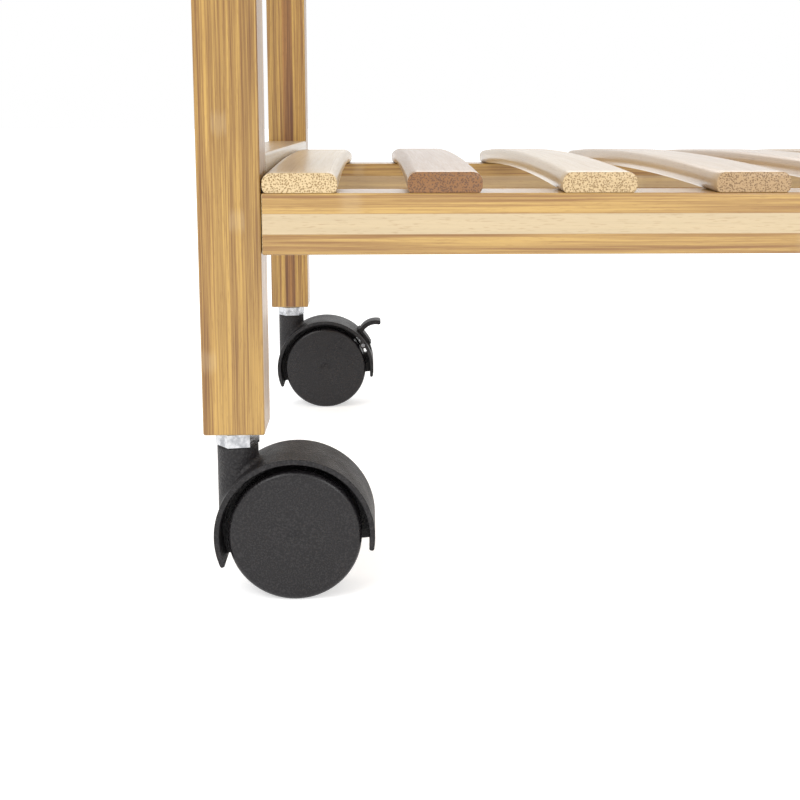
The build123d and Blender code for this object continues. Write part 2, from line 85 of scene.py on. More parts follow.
class Tree:
    """Shorthand for filling one node tree."""

    def __init__(self, tree: bpy.types.NodeTree) -> None:
        """Keep the tree that the other methods add to.

        Args:
            tree: A shader or geometry node tree.
        """
        self.tree = tree

    def add(self, kind: str, **settings: object) -> bpy.types.Node:
        """Add a node.

        Args:
            kind: The node's type name.
            **settings: Properties to set on it.

        Returns:
            The new node.
        """
        node = self.tree.nodes.new(kind)
        for name, value in settings.items():
            setattr(node, name, value)
        return node

    def join(self, source: Socket | float | tuple | None, target: Socket) -> None:
        """Link a socket to an input, or set the input's own value.

        Args:
            source: A socket, a plain value, or None to leave the input alone.
            target: The input socket.
        """
        if source is None:
            return
        if isinstance(source, bpy.types.NodeSocket):
            self.tree.links.new(source, target)
        else:
            target.default_value = source

    def math(self, operation: str, first: Socket | float, second: Socket | float | None = None,
             third: Socket | float | None = None) -> Socket:
        """Add a math node.

        Args:
            operation: The node's operation.
            first: First value.
            second: Second value.
            third: Third value.

        Returns:
            The result socket.
        """
        node = self.add("ShaderNodeMath", operation=operation)
        for index, value in enumerate((first, second, third)):
            self.join(value, node.inputs[index])
        return node.outputs[0]

    def remap(self, value: Socket, low: float, high: float, to_low: float = 0.0, to_high: float = 1.0,
              smooth: bool = True) -> Socket:
        """Map a range of a value onto another range, clamped.

        Args:
            value: The value to map.
            low: Start of the range.
            high: End of the range.
            to_low: Result at the start.
            to_high: Result at the end.
            smooth: Ease in and out.

        Returns:
            The mapped value.
        """
        node = self.add("ShaderNodeMapRange", interpolation_type="SMOOTHSTEP" if smooth else "LINEAR")
        for index, setting in enumerate((value, low, high, to_low, to_high)):
            self.join(setting, node.inputs[index])
        return node.outputs[0]

    def blend(self, factor: Socket | float, first: Socket | Colour, second: Socket | Colour,
              mode: str = "MIX") -> Socket:
        """Mix two colours.

        Args:
            factor: Share of the second colour.
            first: First colour.
            second: Second colour.
            mode: The blend mode.

        Returns:
            The mixed colour.
        """
        node = self.add("ShaderNodeMix", data_type="RGBA", blend_type=mode)
        self.join(factor, node.inputs["Factor"])
        for value, socket in ((first, node.inputs[6]), (second, node.inputs[7])):
            self.join((*value, 1.0) if isinstance(value, tuple) else value, socket)
        return node.outputs[2]

    def stretch(self, vector: Socket, scale: Point) -> Socket:
        """Scale a vector by axis.

        Args:
            vector: The vector.
            scale: Factor on each axis.

        Returns:
            The new vector.
        """
        node = self.add("ShaderNodeVectorMath", operation="MULTIPLY")
        self.join(vector, node.inputs[0])
        self.join(scale, node.inputs[1])
        return node.outputs[0]

    def noise(self, vector: Socket, scale: float, detail: float = 2.0, roughness: float = 0.5) -> Socket:
        """Add a noise texture.

        Args:
            vector: Where to sample it.
            scale: Its scale.
            detail: Number of finer layers.
            roughness: Strength of the finer layers.

        Returns:
            The noise value.
        """
        node = self.add("ShaderNodeTexNoise")
        self.join(vector, node.inputs["Vector"])
        node.inputs["Scale"].default_value = scale
        node.inputs["Detail"].default_value = detail
        node.inputs["Roughness"].default_value = roughness
        return node.outputs["Fac"]


def new_group(name: str, inputs: dict[str, tuple[str, object]],
              outputs: dict[str, str]) -> tuple[Tree, dict, dict]:
    """Start a shader node group.

    Args:
        name: The group's name.
        inputs: Input name to its socket type and default value.
        outputs: Output name to its socket type.

    Returns:
        The tree, its input sockets by name, and its output sockets by name.
    """
    group = bpy.data.node_groups.new(name, "ShaderNodeTree")
    for label, (kind, default) in inputs.items():
        socket = group.interface.new_socket(label, in_out="INPUT", socket_type=kind)
        if default is not None:
            socket.default_value = default
    for label, kind in outputs.items():
        group.interface.new_socket(label, in_out="OUTPUT", socket_type=kind)
    tree = Tree(group)
    start = tree.add("NodeGroupInput")
    end = tree.add("NodeGroupOutput")
    return tree, {s.name: s for s in start.outputs if s.name}, {s.name: s for s in end.inputs if s.name}


FLOAT = "NodeSocketFloat"
VECTOR = "NodeSocketVector"
INTEGER = "NodeSocketInt"

# Scales of the bamboo's noises per metre: along the fibres, across the strips and through them
WANDER_SCALE = (9.0, 60.0, 60.0)
BROAD_SCALE = (7.0, 420.0, 420.0)
FINE_SCALE = (16.0, 1500.0, 1500.0)
HAIR_SCALE = (38.0, 3400.0, 3400.0)
DASH_SCALE = (210.0, 2600.0, 2600.0)
RAGGED_SCALE = (90.0, 900.0, 900.0)
FIBRE_END_SCALE = (0.0, 1500.0, 1500.0)

# How far the noises move the pattern, in metres
WANDER_ACROSS = 1.1 * MM
WANDER_THROUGH = 0.9 * MM
JOINT_RAGGEDNESS = 6 * MM

# Where each mask starts and ends: noise values, metres from a line, or the cosine of a slope
STREAK_RANGE = (0.39, 0.61)
DASH_RANGE = (0.56, 0.74)
GLUE_RANGE = (0.06 * MM, 0.22 * MM)
JOINT_RANGE = (1.2 * MM, 6 * MM)
END_FACING_RANGE = (0.55, 0.75)
FIBRE_END_RANGE = (0.28, 0.62)
FALLING = (1.0, 0.0)

SEED_SHIFT = (0.731, 0.417, 0.593)
BROAD_SHARE = 0.45
FINE_SHARE = 0.6
JOINT_SCATTER = 3.7


def bamboo_group() -> bpy.types.NodeTree:
    """Build the shared pattern of laminated bamboo.

    The vector's first axis runs along the fibres, the second across the strips and the third
    through them.

    Returns:
        The group: streaks, strip tones, glue lines, joints of the cane, fibre ends and relief.
    """
    tree, given, result = new_group(
        "bamboo_pattern",
        {
            "Place": (VECTOR, None),
            "Facing": (VECTOR, None),
            "Seed": (FLOAT, 0.0),
            "Strip Width": (FLOAT, 0.008),
            "Strip Origin": (FLOAT, 0.0),
            "Joint Spacing": (FLOAT, 0.27),
        },
        {"Streak": FLOAT, "Fleck": FLOAT, "Strip": FLOAT, "Glue": FLOAT, "Joint": FLOAT,
         "End": FLOAT, "Dots": FLOAT, "Relief": FLOAT},
    )
    seed = given["Seed"]
    shift = tree.add("ShaderNodeCombineXYZ")
    for slot, factor in enumerate(SEED_SHIFT):
        tree.join(tree.math("MULTIPLY", seed, factor), shift.inputs[slot])
    moved = tree.add("ShaderNodeVectorMath", operation="ADD")
    tree.join(given["Place"], moved.inputs[0])
    tree.join(shift.outputs[0], moved.inputs[1])
    place = moved.outputs[0]
    axes = tree.add("ShaderNodeSeparateXYZ")
    tree.join(given["Place"], axes.inputs[0])
    along, across = axes.outputs[0], axes.outputs[1]

    # A slow sideways wander keeps the fibres from being ruled lines
    wander = tree.noise(tree.stretch(place, WANDER_SCALE), 1.0, 1.0)
    drift = tree.add("ShaderNodeCombineXYZ")
    for slot, reach in ((1, WANDER_ACROSS), (2, WANDER_THROUGH)):
        tree.join(tree.math("MULTIPLY_ADD", wander, reach, -reach / 2), drift.inputs[slot])
    wandered = tree.add("ShaderNodeVectorMath", operation="ADD")
    tree.join(place, wandered.inputs[0])
    tree.join(drift.outputs[0], wandered.inputs[1])
    fibres = wandered.outputs[0]

    broad = tree.noise(tree.stretch(fibres, BROAD_SCALE), 1.0, 2.0)
    fine = tree.noise(tree.stretch(fibres, FINE_SCALE), 1.0, 3.0, 0.65)
    hair = tree.noise(tree.stretch(fibres, HAIR_SCALE), 1.0, 1.0)
    streak = tree.math("MULTIPLY_ADD", broad, BROAD_SHARE, tree.math("MULTIPLY", fine, 1.0 - BROAD_SHARE))
    tree.join(tree.remap(streak, *STREAK_RANGE, smooth=False), result["Streak"])
    dashes = tree.noise(tree.stretch(fibres, DASH_SCALE), 1.0, 1.0)
    tree.join(tree.remap(dashes, *DASH_RANGE), result["Fleck"])

    # Glued strips: each has its own tone, with a fine line between them
    lane = tree.math("DIVIDE", tree.math("SUBTRACT", across, given["Strip Origin"]), given["Strip Width"])
    strip_number = tree.math("FLOOR", lane)
    tone = tree.add("ShaderNodeTexWhiteNoise", noise_dimensions="2D")
    cell = tree.add("ShaderNodeCombineXYZ")
    tree.join(strip_number, cell.inputs[0])
    tree.join(seed, cell.inputs[1])
    tree.join(cell.outputs[0], tone.inputs["Vector"])
    tree.join(tone.outputs["Value"], result["Strip"])
    edge = tree.math("PINGPONG", lane, 0.5)
    edge_metres = tree.math("MULTIPLY", edge, given["Strip Width"])
    tree.join(tree.remap(edge_metres, *GLUE_RANGE, *FALLING), result["Glue"])

    # Joints of the cane: a band across one strip at a time
    phase = tree.math("MULTIPLY_ADD", tone.outputs["Value"], JOINT_SCATTER, seed)
    ragged = tree.noise(tree.stretch(place, RAGGED_SCALE), 1.0, 2.0)
    rough_along = tree.math("MULTIPLY_ADD", ragged, JOINT_RAGGEDNESS, along)
    turn = tree.math("ADD", tree.math("DIVIDE", rough_along, given["Joint Spacing"]), phase)
    distance = tree.math("MULTIPLY", tree.math("PINGPONG", turn, 0.5), given["Joint Spacing"])
    tree.join(tree.remap(distance, *JOINT_RANGE, *FALLING), result["Joint"])

    # Fibre ends, seen on faces that cut across the fibres
    facing = tree.add("ShaderNodeSeparateXYZ")
    tree.join(given["Facing"], facing.inputs[0])
    end = tree.remap(tree.math("ABSOLUTE", facing.outputs[0]), *END_FACING_RANGE)
    tree.join(end, result["End"])
    dots = tree.add("ShaderNodeTexVoronoi", feature="SMOOTH_F1")
    dots.inputs["Smoothness"].default_value = 0.25
    dots.inputs["Scale"].default_value = 1.0
    dots.inputs["Randomness"].default_value = 0.72
    tree.join(tree.stretch(place, FIBRE_END_SCALE), dots.inputs["Vector"])
    dot = tree.remap(dots.outputs["Distance"], *FIBRE_END_RANGE, *FALLING)
    tree.join(dot, result["Dots"])
    side_relief = tree.math("MULTIPLY_ADD", fine, FINE_SHARE, tree.math("MULTIPLY", hair, 1.0 - FINE_SHARE))
    relief = tree.add("ShaderNodeMix", data_type="FLOAT")
    tree.join(end, relief.inputs["Factor"])
    tree.join(side_relief, relief.inputs[2])
    tree.join(dot, relief.inputs[3])
    tree.join(relief.outputs[0], result["Relief"])
    return tree.tree


SCRATCH_SCALE = (140.0, 900.0, 2100.0)
SCRATCH_RANGE = (0.62, 0.78)
DUST_SCALE = 95.0


def skin_group() -> bpy.types.NodeTree:
    """Build the shared pattern of spark-eroded plastic: a fine pebble, scuffs and dust.

    Returns:
        The group.
    """
    tree, given, result = new_group(
        "moulded_skin",
        {"Place": (VECTOR, None), "Seed": (FLOAT, 0.0), "Pebble": (FLOAT, 2400.0)},
        {"Relief": FLOAT, "Scuff": FLOAT, "Cloud": FLOAT},
    )
    shift = tree.add("ShaderNodeVectorMath", operation="ADD")
    tree.join(given["Place"], shift.inputs[0])
    tree.join(given["Seed"], shift.inputs[1])
    place = shift.outputs[0]
    pebble = tree.add("ShaderNodeTexNoise")
    tree.join(place, pebble.inputs["Vector"])
    tree.join(given["Pebble"], pebble.inputs["Scale"])
    pebble.inputs["Detail"].default_value = 2.0
    tree.join(pebble.outputs["Fac"], result["Relief"])
    scratches = tree.noise(tree.stretch(place, SCRATCH_SCALE), 1.0, 2.0, 0.6)
    tree.join(tree.remap(scratches, *SCRATCH_RANGE), result["Scuff"])
    tree.join(tree.noise(place, DUST_SCALE, 3.0), result["Cloud"])
    return tree.tree


LINE_STRETCH = 60.0
PLATE_SCALE = 420.0


def metal_group() -> bpy.types.NodeTree:
    """Build the shared pattern of plated steel: turning lines and a cloudy plate.

    Returns:
        The group.
    """
    tree, given, result = new_group(
        "plated_metal",
        {"Place": (VECTOR, None), "Lines": (FLOAT, 3000.0)},
        {"Line": FLOAT, "Cloud": FLOAT},
    )
    lines = tree.add("ShaderNodeTexNoise")
    scale = tree.add("ShaderNodeCombineXYZ")
    tree.join(LINE_STRETCH, scale.inputs[0])
    tree.join(LINE_STRETCH, scale.inputs[1])
    tree.join(given["Lines"], scale.inputs[2])
    spread = tree.add("ShaderNodeVectorMath", operation="MULTIPLY")
    tree.join(given["Place"], spread.inputs[0])
    tree.join(scale.outputs[0], spread.inputs[1])
    tree.join(spread.outputs[0], lines.inputs["Vector"])
    lines.inputs["Scale"].default_value = 1.0
    tree.join(lines.outputs["Fac"], result["Line"])
    tree.join(tree.noise(given["Place"], PLATE_SCALE, 3.0), result["Cloud"])
    return tree.tree


@dataclass(frozen=True)
class Finish:
    """What every finish shares: a name and a way to make its material once."""

    name: str

    def material(self) -> bpy.types.Material:
        """Return the finish's material, made on first use."""
        label = self.name + "_look"
        found = bpy.data.materials.get(label)
        if found is not None:
            return found
        made = bpy.data.materials.new(label)
        made.use_nodes = True
        tree = Tree(made.node_tree)
        shader = made.node_tree.nodes["Principled BSDF"]
        self.paint(tree, shader)
        return made

    def paint(self, tree: Tree, shader: bpy.types.Node) -> None:
        """Fill the material's tree.

        Args:
            tree: The material's tree.
            shader: Its Principled node.
        """
        raise NotImplementedError


def pattern(tree: Tree, group_name: str, **values: Socket | float) -> bpy.types.Node:
    """Place a shared pattern in a material.

    Args:
        tree: The material's tree.
        group_name: The pattern's group.
        **values: Its inputs, with underscores for spaces.

    Returns:
        The group node.
    """
    node = tree.add("ShaderNodeGroup", node_tree=bpy.data.node_groups[group_name])
    for label, value in values.items():
        tree.join(value, node.inputs[label.replace("_", " ")])
    return node


def bump(tree: Tree, height: Socket, depth: float, shader: bpy.types.Node, rounding: float = 0.0) -> None:
    """Feed a height to a material's normal.

    Args:
        tree: The material's tree.
        height: The relief, 0 to 1.
        depth: How deep it is, in metres.
        shader: The Principled node.
        rounding: Radius that the edges are shaded with, in metres.
    """
    node = tree.add("ShaderNodeBump")
    if rounding:
        soft = tree.add("ShaderNodeBevel", samples=6)
        soft.inputs["Radius"].default_value = rounding
        tree.join(soft.outputs[0], node.inputs["Normal"])
    node.inputs["Strength"].default_value = 1.0
    node.inputs["Distance"].default_value = depth
    tree.join(height, node.inputs["Height"])
    tree.join(node.outputs[0], shader.inputs["Normal"])
    if "Coat Normal" in shader.inputs:
        tree.join(node.outputs[0], shader.inputs["Coat Normal"])


@dataclass(frozen=True)
class Bamboo(Finish):
    """Lacquered laminated bamboo."""

    grain: Grain
    light: Colour = (0.50, 0.31, 0.083)
    dark: Colour = (0.23, 0.104, 0.019)
    pale: Colour = (0.54, 0.42, 0.25)
    end_light: Colour = (0.61, 0.46, 0.25)
    end_dark: Colour = (0.26, 0.16, 0.05)
    strip_width: float = 8 * MM
    strip_spread: float = 0.22
    joint_spacing: float = 0.27
    joint_strength: float = 0.16
    seed: float = 0.0
    paleness: float = 0.0
    tone_attribute: str = ""
    strip_origin: float = 0.0
    middle_paleness: float = 0.0
    heart: tuple[float, float] | None = None
    coat: float = 0.8
    coat_roughness: float = 0.22
    coat_index: float = 1.5
    roughness: tuple[float, float] = (0.46, 0.36)
    end_roughness: float = 0.2
    relief: float = 0.05 * MM
    fleck_strength: float = 0.30
    glue_strength: float = 0.35
    joint_lightness: float = 1.12
    pale_streak: float = 0.82
    toned_side: Colour = (0.66, 0.52, 0.42)
    toned_end: Colour = (0.37, 0.20, 0.065)
    heart_tint: Colour = (0.46, 0.26, 0.20)
    heart_strength: float = 0.7
    heart_blur: float = 0.5 * MM
    layer_blur: float = 0.12 * MM

    def axes(self, tree: Tree, vector: Socket) -> Socket:
        """Turn a vector so that the fibres run along its first axis.

        Args:
            tree: The material's tree.
            vector: A vector in the row's frame.

        Returns:
            The turned vector.
        """
        parts = tree.add("ShaderNodeSeparateXYZ")
        tree.join(vector, parts.inputs[0])
        turned = tree.add("ShaderNodeCombineXYZ")
        for slot, axis in enumerate(self.grain.value):
            tree.join(parts.outputs[axis], turned.inputs[slot])
        return turned.outputs[0]

    def paint(self, tree: Tree, shader: bpy.types.Node) -> None:
        """Fill the material's tree."""
        where = tree.add("ShaderNodeTexCoord")
        place = self.axes(tree, where.outputs["Object"])
        facing = self.axes(tree, where.outputs["Normal"])
        cane = pattern(tree, "bamboo_pattern", Place=place, Facing=facing, Seed=self.seed,
                       Strip_Width=self.strip_width, Strip_Origin=self.strip_origin,
                       Joint_Spacing=self.joint_spacing)
        side = tree.blend(cane.outputs["Streak"], self.dark, self.light)
        paleness = self.pale_share(tree, where)
        faint_streak = tree.math("MULTIPLY", cane.outputs["Streak"], 0.5)
        streaked = tuple(self.pale_streak * part for part in self.pale)
        side = tree.blend(paleness, side, tree.blend(faint_streak, self.pale, streaked))
        darkest, lightest = 1.0 - self.strip_spread, 1.0 + 0.4 * self.strip_spread
        shade = tree.remap(cane.outputs["Strip"], 0.0, 1.0, darkest, lightest, smooth=False)
        shaded = tree.add("ShaderNodeCombineColor")
        for index in range(3):
            tree.join(shade, shaded.inputs[index])
        side = tree.blend(1.0, side, shaded.outputs[0], "MULTIPLY")
        side = tree.blend(tree.math("MULTIPLY", cane.outputs["Fleck"], self.fleck_strength), side, self.dark)
        joint = tree.math("MULTIPLY", cane.outputs["Joint"], self.joint_strength)
        side = tree.blend(joint, side, tuple(min(1.0, self.joint_lightness * part) for part in self.pale))
        side = tree.blend(tree.math("MULTIPLY", cane.outputs["Glue"], self.glue_strength), side, self.dark)
        if self.heart is not None:
            side = self.heart_strip(tree, where, side)
        ends = tree.blend(cane.outputs["Dots"], self.end_light, self.end_dark)
        if self.tone_attribute:
            tone = tree.add("ShaderNodeAttribute", attribute_type="GEOMETRY",
                            attribute_name=self.tone_attribute)
            side = tree.blend(tone.outputs["Fac"], side, tree.blend(1.0, side, self.toned_side, "MULTIPLY"))
            ends = tree.blend(tone.outputs["Fac"], ends, tree.blend(1.0, ends, self.toned_end, "MULTIPLY"))
        colour = tree.blend(cane.outputs["End"], side, ends)
        tree.join(colour, shader.inputs["Base Color"])
        dull = tree.remap(cane.outputs["Streak"], 0.0, 1.0, *self.roughness, smooth=False)
        dull = tree.math("MULTIPLY_ADD", cane.outputs["End"], self.end_roughness, dull)
        tree.join(dull, shader.inputs["Roughness"])
        shader.inputs["Coat Weight"].default_value = self.coat
        shader.inputs["Coat Roughness"].default_value = self.coat_roughness
        shader.inputs["Coat IOR"].default_value = self.coat_index
        bump(tree, cane.outputs["Relief"], self.relief, shader)

    def pale_share(self, tree: Tree, where: bpy.types.Node) -> Socket | float:
        """Work out where the pale middle layer of a three-layer board shows.

        Args:
            tree: The material's tree.
            where: Its texture coordinates.

        Returns:
            The share of the pale colour.
        """
        if not self.middle_paleness:
            return self.paleness
        height = tree.add("ShaderNodeSeparateXYZ")
        tree.join(where.outputs["Object"], height.inputs[0])
        level = tree.math("SUBTRACT", height.outputs[2], self.strip_origin)
        soft = self.layer_blur
        lower = tree.remap(level, self.strip_width - soft, self.strip_width + soft)
        upper = tree.remap(level, 2 * self.strip_width - soft, 2 * self.strip_width + soft, *FALLING)
        return tree.math("MULTIPLY", tree.math("MULTIPLY", lower, upper), self.middle_paleness)

    def heart_strip(self, tree: Tree, where: bpy.types.Node, side: Socket) -> Socket:
        """Darken one strip of a post.

        Args:
            tree: The material's tree.
            where: Its texture coordinates.
            side: The colour so far.

        Returns:
            The colour with the dark strip.
        """
        across = tree.add("ShaderNodeSeparateXYZ")
        tree.join(where.outputs["Object"], across.inputs[0])
        soft = self.heart_blur
        low = tree.remap(across.outputs[0], self.heart[0] - soft, self.heart[0] + soft)
        high = tree.remap(across.outputs[0], self.heart[1] - soft, self.heart[1] + soft, *FALLING)
        share = tree.math("MULTIPLY", tree.math("MULTIPLY", low, high), self.heart_strength)
        return tree.blend(share, side, tree.blend(1.0, side, self.heart_tint, "MULTIPLY"))


@dataclass(frozen=True)
class BlackNylon(Finish):
    """Black moulded nylon with a fine eroded texture, its pebble peaks lightened with painted glints."""

    base: Colour = (0.006, 0.005, 0.006)
    scuff_and_glint: Colour = (0.024, 0.022, 0.023)
    roughness: float = 0.5
    shine: float = 0.36
    pebble: float = 1150.0
    depth: float = 0.0005
    seed: float = 0.0
    rounding: float = 0.0
    wear: float = 0.25
    painted_glint: float = 0.85
    painted_glint_range: tuple[float, float] = (0.44, 0.66)
    cloud_range: tuple[float, float] = (0.3, 0.7)
    duller: float = 0.06
    shinier: float = 0.05

    def paint(self, tree: Tree, shader: bpy.types.Node) -> None:
        """Fill the material's tree."""
        where = tree.add("ShaderNodeTexCoord")
        skin = pattern(tree, "moulded_skin", Place=where.outputs["Object"], Seed=self.seed,
                       Pebble=self.pebble)
        worn = tree.math("MULTIPLY", skin.outputs["Scuff"], self.wear)
        colour = tree.blend(worn, self.base, self.scuff_and_glint)
        # Painted glints: the peaks of the pebble relief are lightened toward the scuffed grey, the same grey
        # that colours the real scuffs
        painted_glint = tree.remap(skin.outputs["Relief"], *self.painted_glint_range, 0.0, self.painted_glint)
        tree.join(tree.blend(painted_glint, colour, self.scuff_and_glint), shader.inputs["Base Color"])
        shader.inputs["Specular IOR Level"].default_value = self.shine
        limits = (self.roughness - self.shinier, self.roughness + self.duller)
        rough = tree.remap(skin.outputs["Cloud"], *self.cloud_range, *limits)
        tree.join(rough, shader.inputs["Roughness"])
        bump(tree, skin.outputs["Relief"], self.depth, shader, self.rounding)


@dataclass(frozen=True)
class PlatedSteel(Finish):
    """Bright zinc or plain drawn steel."""

    base: Colour = (0.60, 0.61, 0.63)
    shade: Colour = (0.32, 0.33, 0.35)
    roughness: float = 0.24
    lines: float = 3000.0
    relief: float = 0.01 * MM
    cloud_range: tuple[float, float] = (0.35, 0.7)
    line_range: tuple[float, float] = (0.3, 0.7)
    duller: float = 0.1
    shinier: float = 0.06

    def paint(self, tree: Tree, shader: bpy.types.Node) -> None:
        """Fill the material's tree."""
        where = tree.add("ShaderNodeTexCoord")
        plate = pattern(tree, "plated_metal", Place=where.outputs["Object"], Lines=self.lines)
        cloud = tree.remap(plate.outputs["Cloud"], *self.cloud_range)
        tree.join(tree.blend(cloud, self.base, self.shade), shader.inputs["Base Color"])
        limits = (self.roughness - self.shinier, self.roughness + self.duller)
        tree.join(tree.remap(plate.outputs["Line"], *self.line_range, *limits), shader.inputs["Roughness"])
        shader.inputs["Metallic"].default_value = 1.0
        bump(tree, plate.outputs["Line"], self.relief, shader)


@dataclass(frozen=True)
class StudioPaper(Finish):
    """Matt white ground that glows a little, like a light table."""

    glow: float = 0.5
    darker: Colour = (0.74, 0.74, 0.74)
    lighter: Colour = (0.76, 0.76, 0.76)
    roughness: float = 0.9
    shine: float = 0.1
    mottle_scale: float = 6.0

    def paint(self, tree: Tree, shader: bpy.types.Node) -> None:
        """Fill the material's tree."""
        where = tree.add("ShaderNodeTexCoord")
        mottle = tree.remap(tree.noise(where.outputs["Object"], self.mottle_scale, 3.0), 0.3, 0.7)
        tree.join(tree.blend(mottle, self.darker, self.lighter), shader.inputs["Base Color"])
        shader.inputs["Emission Color"].default_value = (1.0, 1.0, 1.0, 1.0)
        shader.inputs["Emission Strength"].default_value = self.glow
        shader.inputs["Roughness"].default_value = self.roughness
        shader.inputs["Specular IOR Level"].default_value = self.shine


def dress(node: str, finish: Finish) -> None:
    """Give a CAD node a finish.

    Args:
        node: The node's name.
        finish: What it is made of.
    """
    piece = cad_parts[node]
    material = finish.material()
    if not piece.material_slots:
        piece.data.materials.append(material)
    for material_slot in piece.material_slots:
        material_slot.link = "OBJECT"
        material_slot.material = material
    LOG.info("dressed %s with %s", node, finish.name)


@dataclass
class WoodFrame:
    """Posts and rails of the cart, kept as the CAD gives them."""

    post_seeds: dict[Corner, float] = field(default_factory=lambda: {
        Corner.FRONT_LEFT: 1.3, Corner.FRONT_RIGHT: 4.1, Corner.REAR_LEFT: 7.7, Corner.REAR_RIGHT: 9.2})
    heart_share: tuple[float, float] = (0.40, 0.66)
    post_strip: float = 6 * MM
    post_light: Colour = (0.515, 0.308, 0.073)
    post_dark: Colour = (0.185, 0.078, 0.013)
    rail_layers: int = 3
    rail_paleness: dict[str, float] = field(default_factory=lambda: {"front": 1.0, "rear": 0.45})
    side_rail_strip: float = 19 * MM
    long_rail_seed: float = 2.0
    side_rail_seed: float = 5.0

    def build(self) -> None:
        """Dress every post and rail."""
        for corner, seed in self.post_seeds.items():
            self.dress_post(corner, seed)
        for number, shelf in enumerate(Shelf):
            self.dress_long_rails(shelf, self.long_rail_seed + number)
            self.dress_side_rails(shelf, self.side_rail_seed + number)
        for node in ("rail_dowels", "side_rail_dowels", "slat_pins"):
            dress(node, Bamboo("dowel_wood", Grain.ALONG_Y_FLAT, strip_spread=0.05, joint_strength=0.0))

    def dress_post(self, corner: Corner, seed: float) -> None:
        """Dress one post; the rear ones have a dark strip down the middle.

        Args:
            corner: Which post.
            seed: Picks its own grain.
        """
        node = corner.value + "_post"
        low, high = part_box(node)
        heart = None
        if corner in (Corner.REAR_LEFT, Corner.REAR_RIGHT):
            width = high[0] - low[0]
            heart = (low[0] + self.heart_share[0] * width, low[0] + self.heart_share[1] * width)
        dress(node, Bamboo(node + "_bamboo", Grain.ALONG_Z, light=self.post_light, dark=self.post_dark,
                           seed=seed, heart=heart, strip_spread=0.14, strip_origin=low[0],
                           strip_width=self.post_strip, coat=0.5))

    def dress_long_rails(self, shelf: Shelf, seed: float) -> None:
        """Dress a shelf's front and rear rails as three-layer boards.

        Args:
            shelf: Which shelf.
            seed: Picks its own grain.
        """
        for side, paleness in self.rail_paleness.items():
            node = f"{shelf.value}_{side}_rail"
            low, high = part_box(node)
            layer = (high[2] - low[2]) / self.rail_layers
            dress(node, Bamboo(node + "_bamboo", Grain.ALONG_X, seed=seed, strip_width=layer,
                               middle_paleness=paleness, strip_origin=low[2], strip_spread=0.05))

    def dress_side_rails(self, shelf: Shelf, seed: float) -> None:
        """Dress a shelf's left and right rails.

        Args:
            shelf: Which shelf.
            seed: Picks its own grain.
        """
        for side in ("left", "right"):
            node = f"{shelf.value}_{side}_rail"
            dress(node, Bamboo(node + "_bamboo", Grain.ALONG_Y_UPRIGHT, seed=seed, paleness=0.85,
                               strip_spread=0.08, strip_width=self.side_rail_strip,
                               strip_origin=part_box(node)[0][2]))


@dataclass
class Casters:
    """Stems, hoods, wheels and brakes."""

    def build(self) -> None:
        """Dress every caster piece."""
        hood = BlackNylon("hood_nylon", rounding=0.7 * MM)
        wheel = BlackNylon("wheel_nylon", seed=0.37, pebble=1700.0, roughness=0.3, depth=0.00011)
        zinc = PlatedSteel("bright_zinc")
        steel = PlatedSteel("drawn_steel", base=(0.30, 0.30, 0.31), shade=(0.2, 0.2, 0.21), roughness=0.35)
        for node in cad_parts:
            if node.endswith(("_hood", "_lever")):
                dress(node, hood)
            elif node.endswith("_wheel"):
                dress(node, wheel)
            elif node.endswith("_stem") or node in ("caster_inserts", "rail_inserts"):
                dress(node, zinc)
            elif node.endswith(("_axle", "_brake_pin")) or node in ("rail_bolts", "stem_grip_rings"):
                dress(node, steel)


SLAT_SPANS = 40
EDGE_STEPS = 7
PALEST_TONE, DARKEST_TONE = 0.0, 0.75
LEAST_SLAT_SCALE = (1.0, 0.999, 0.93)


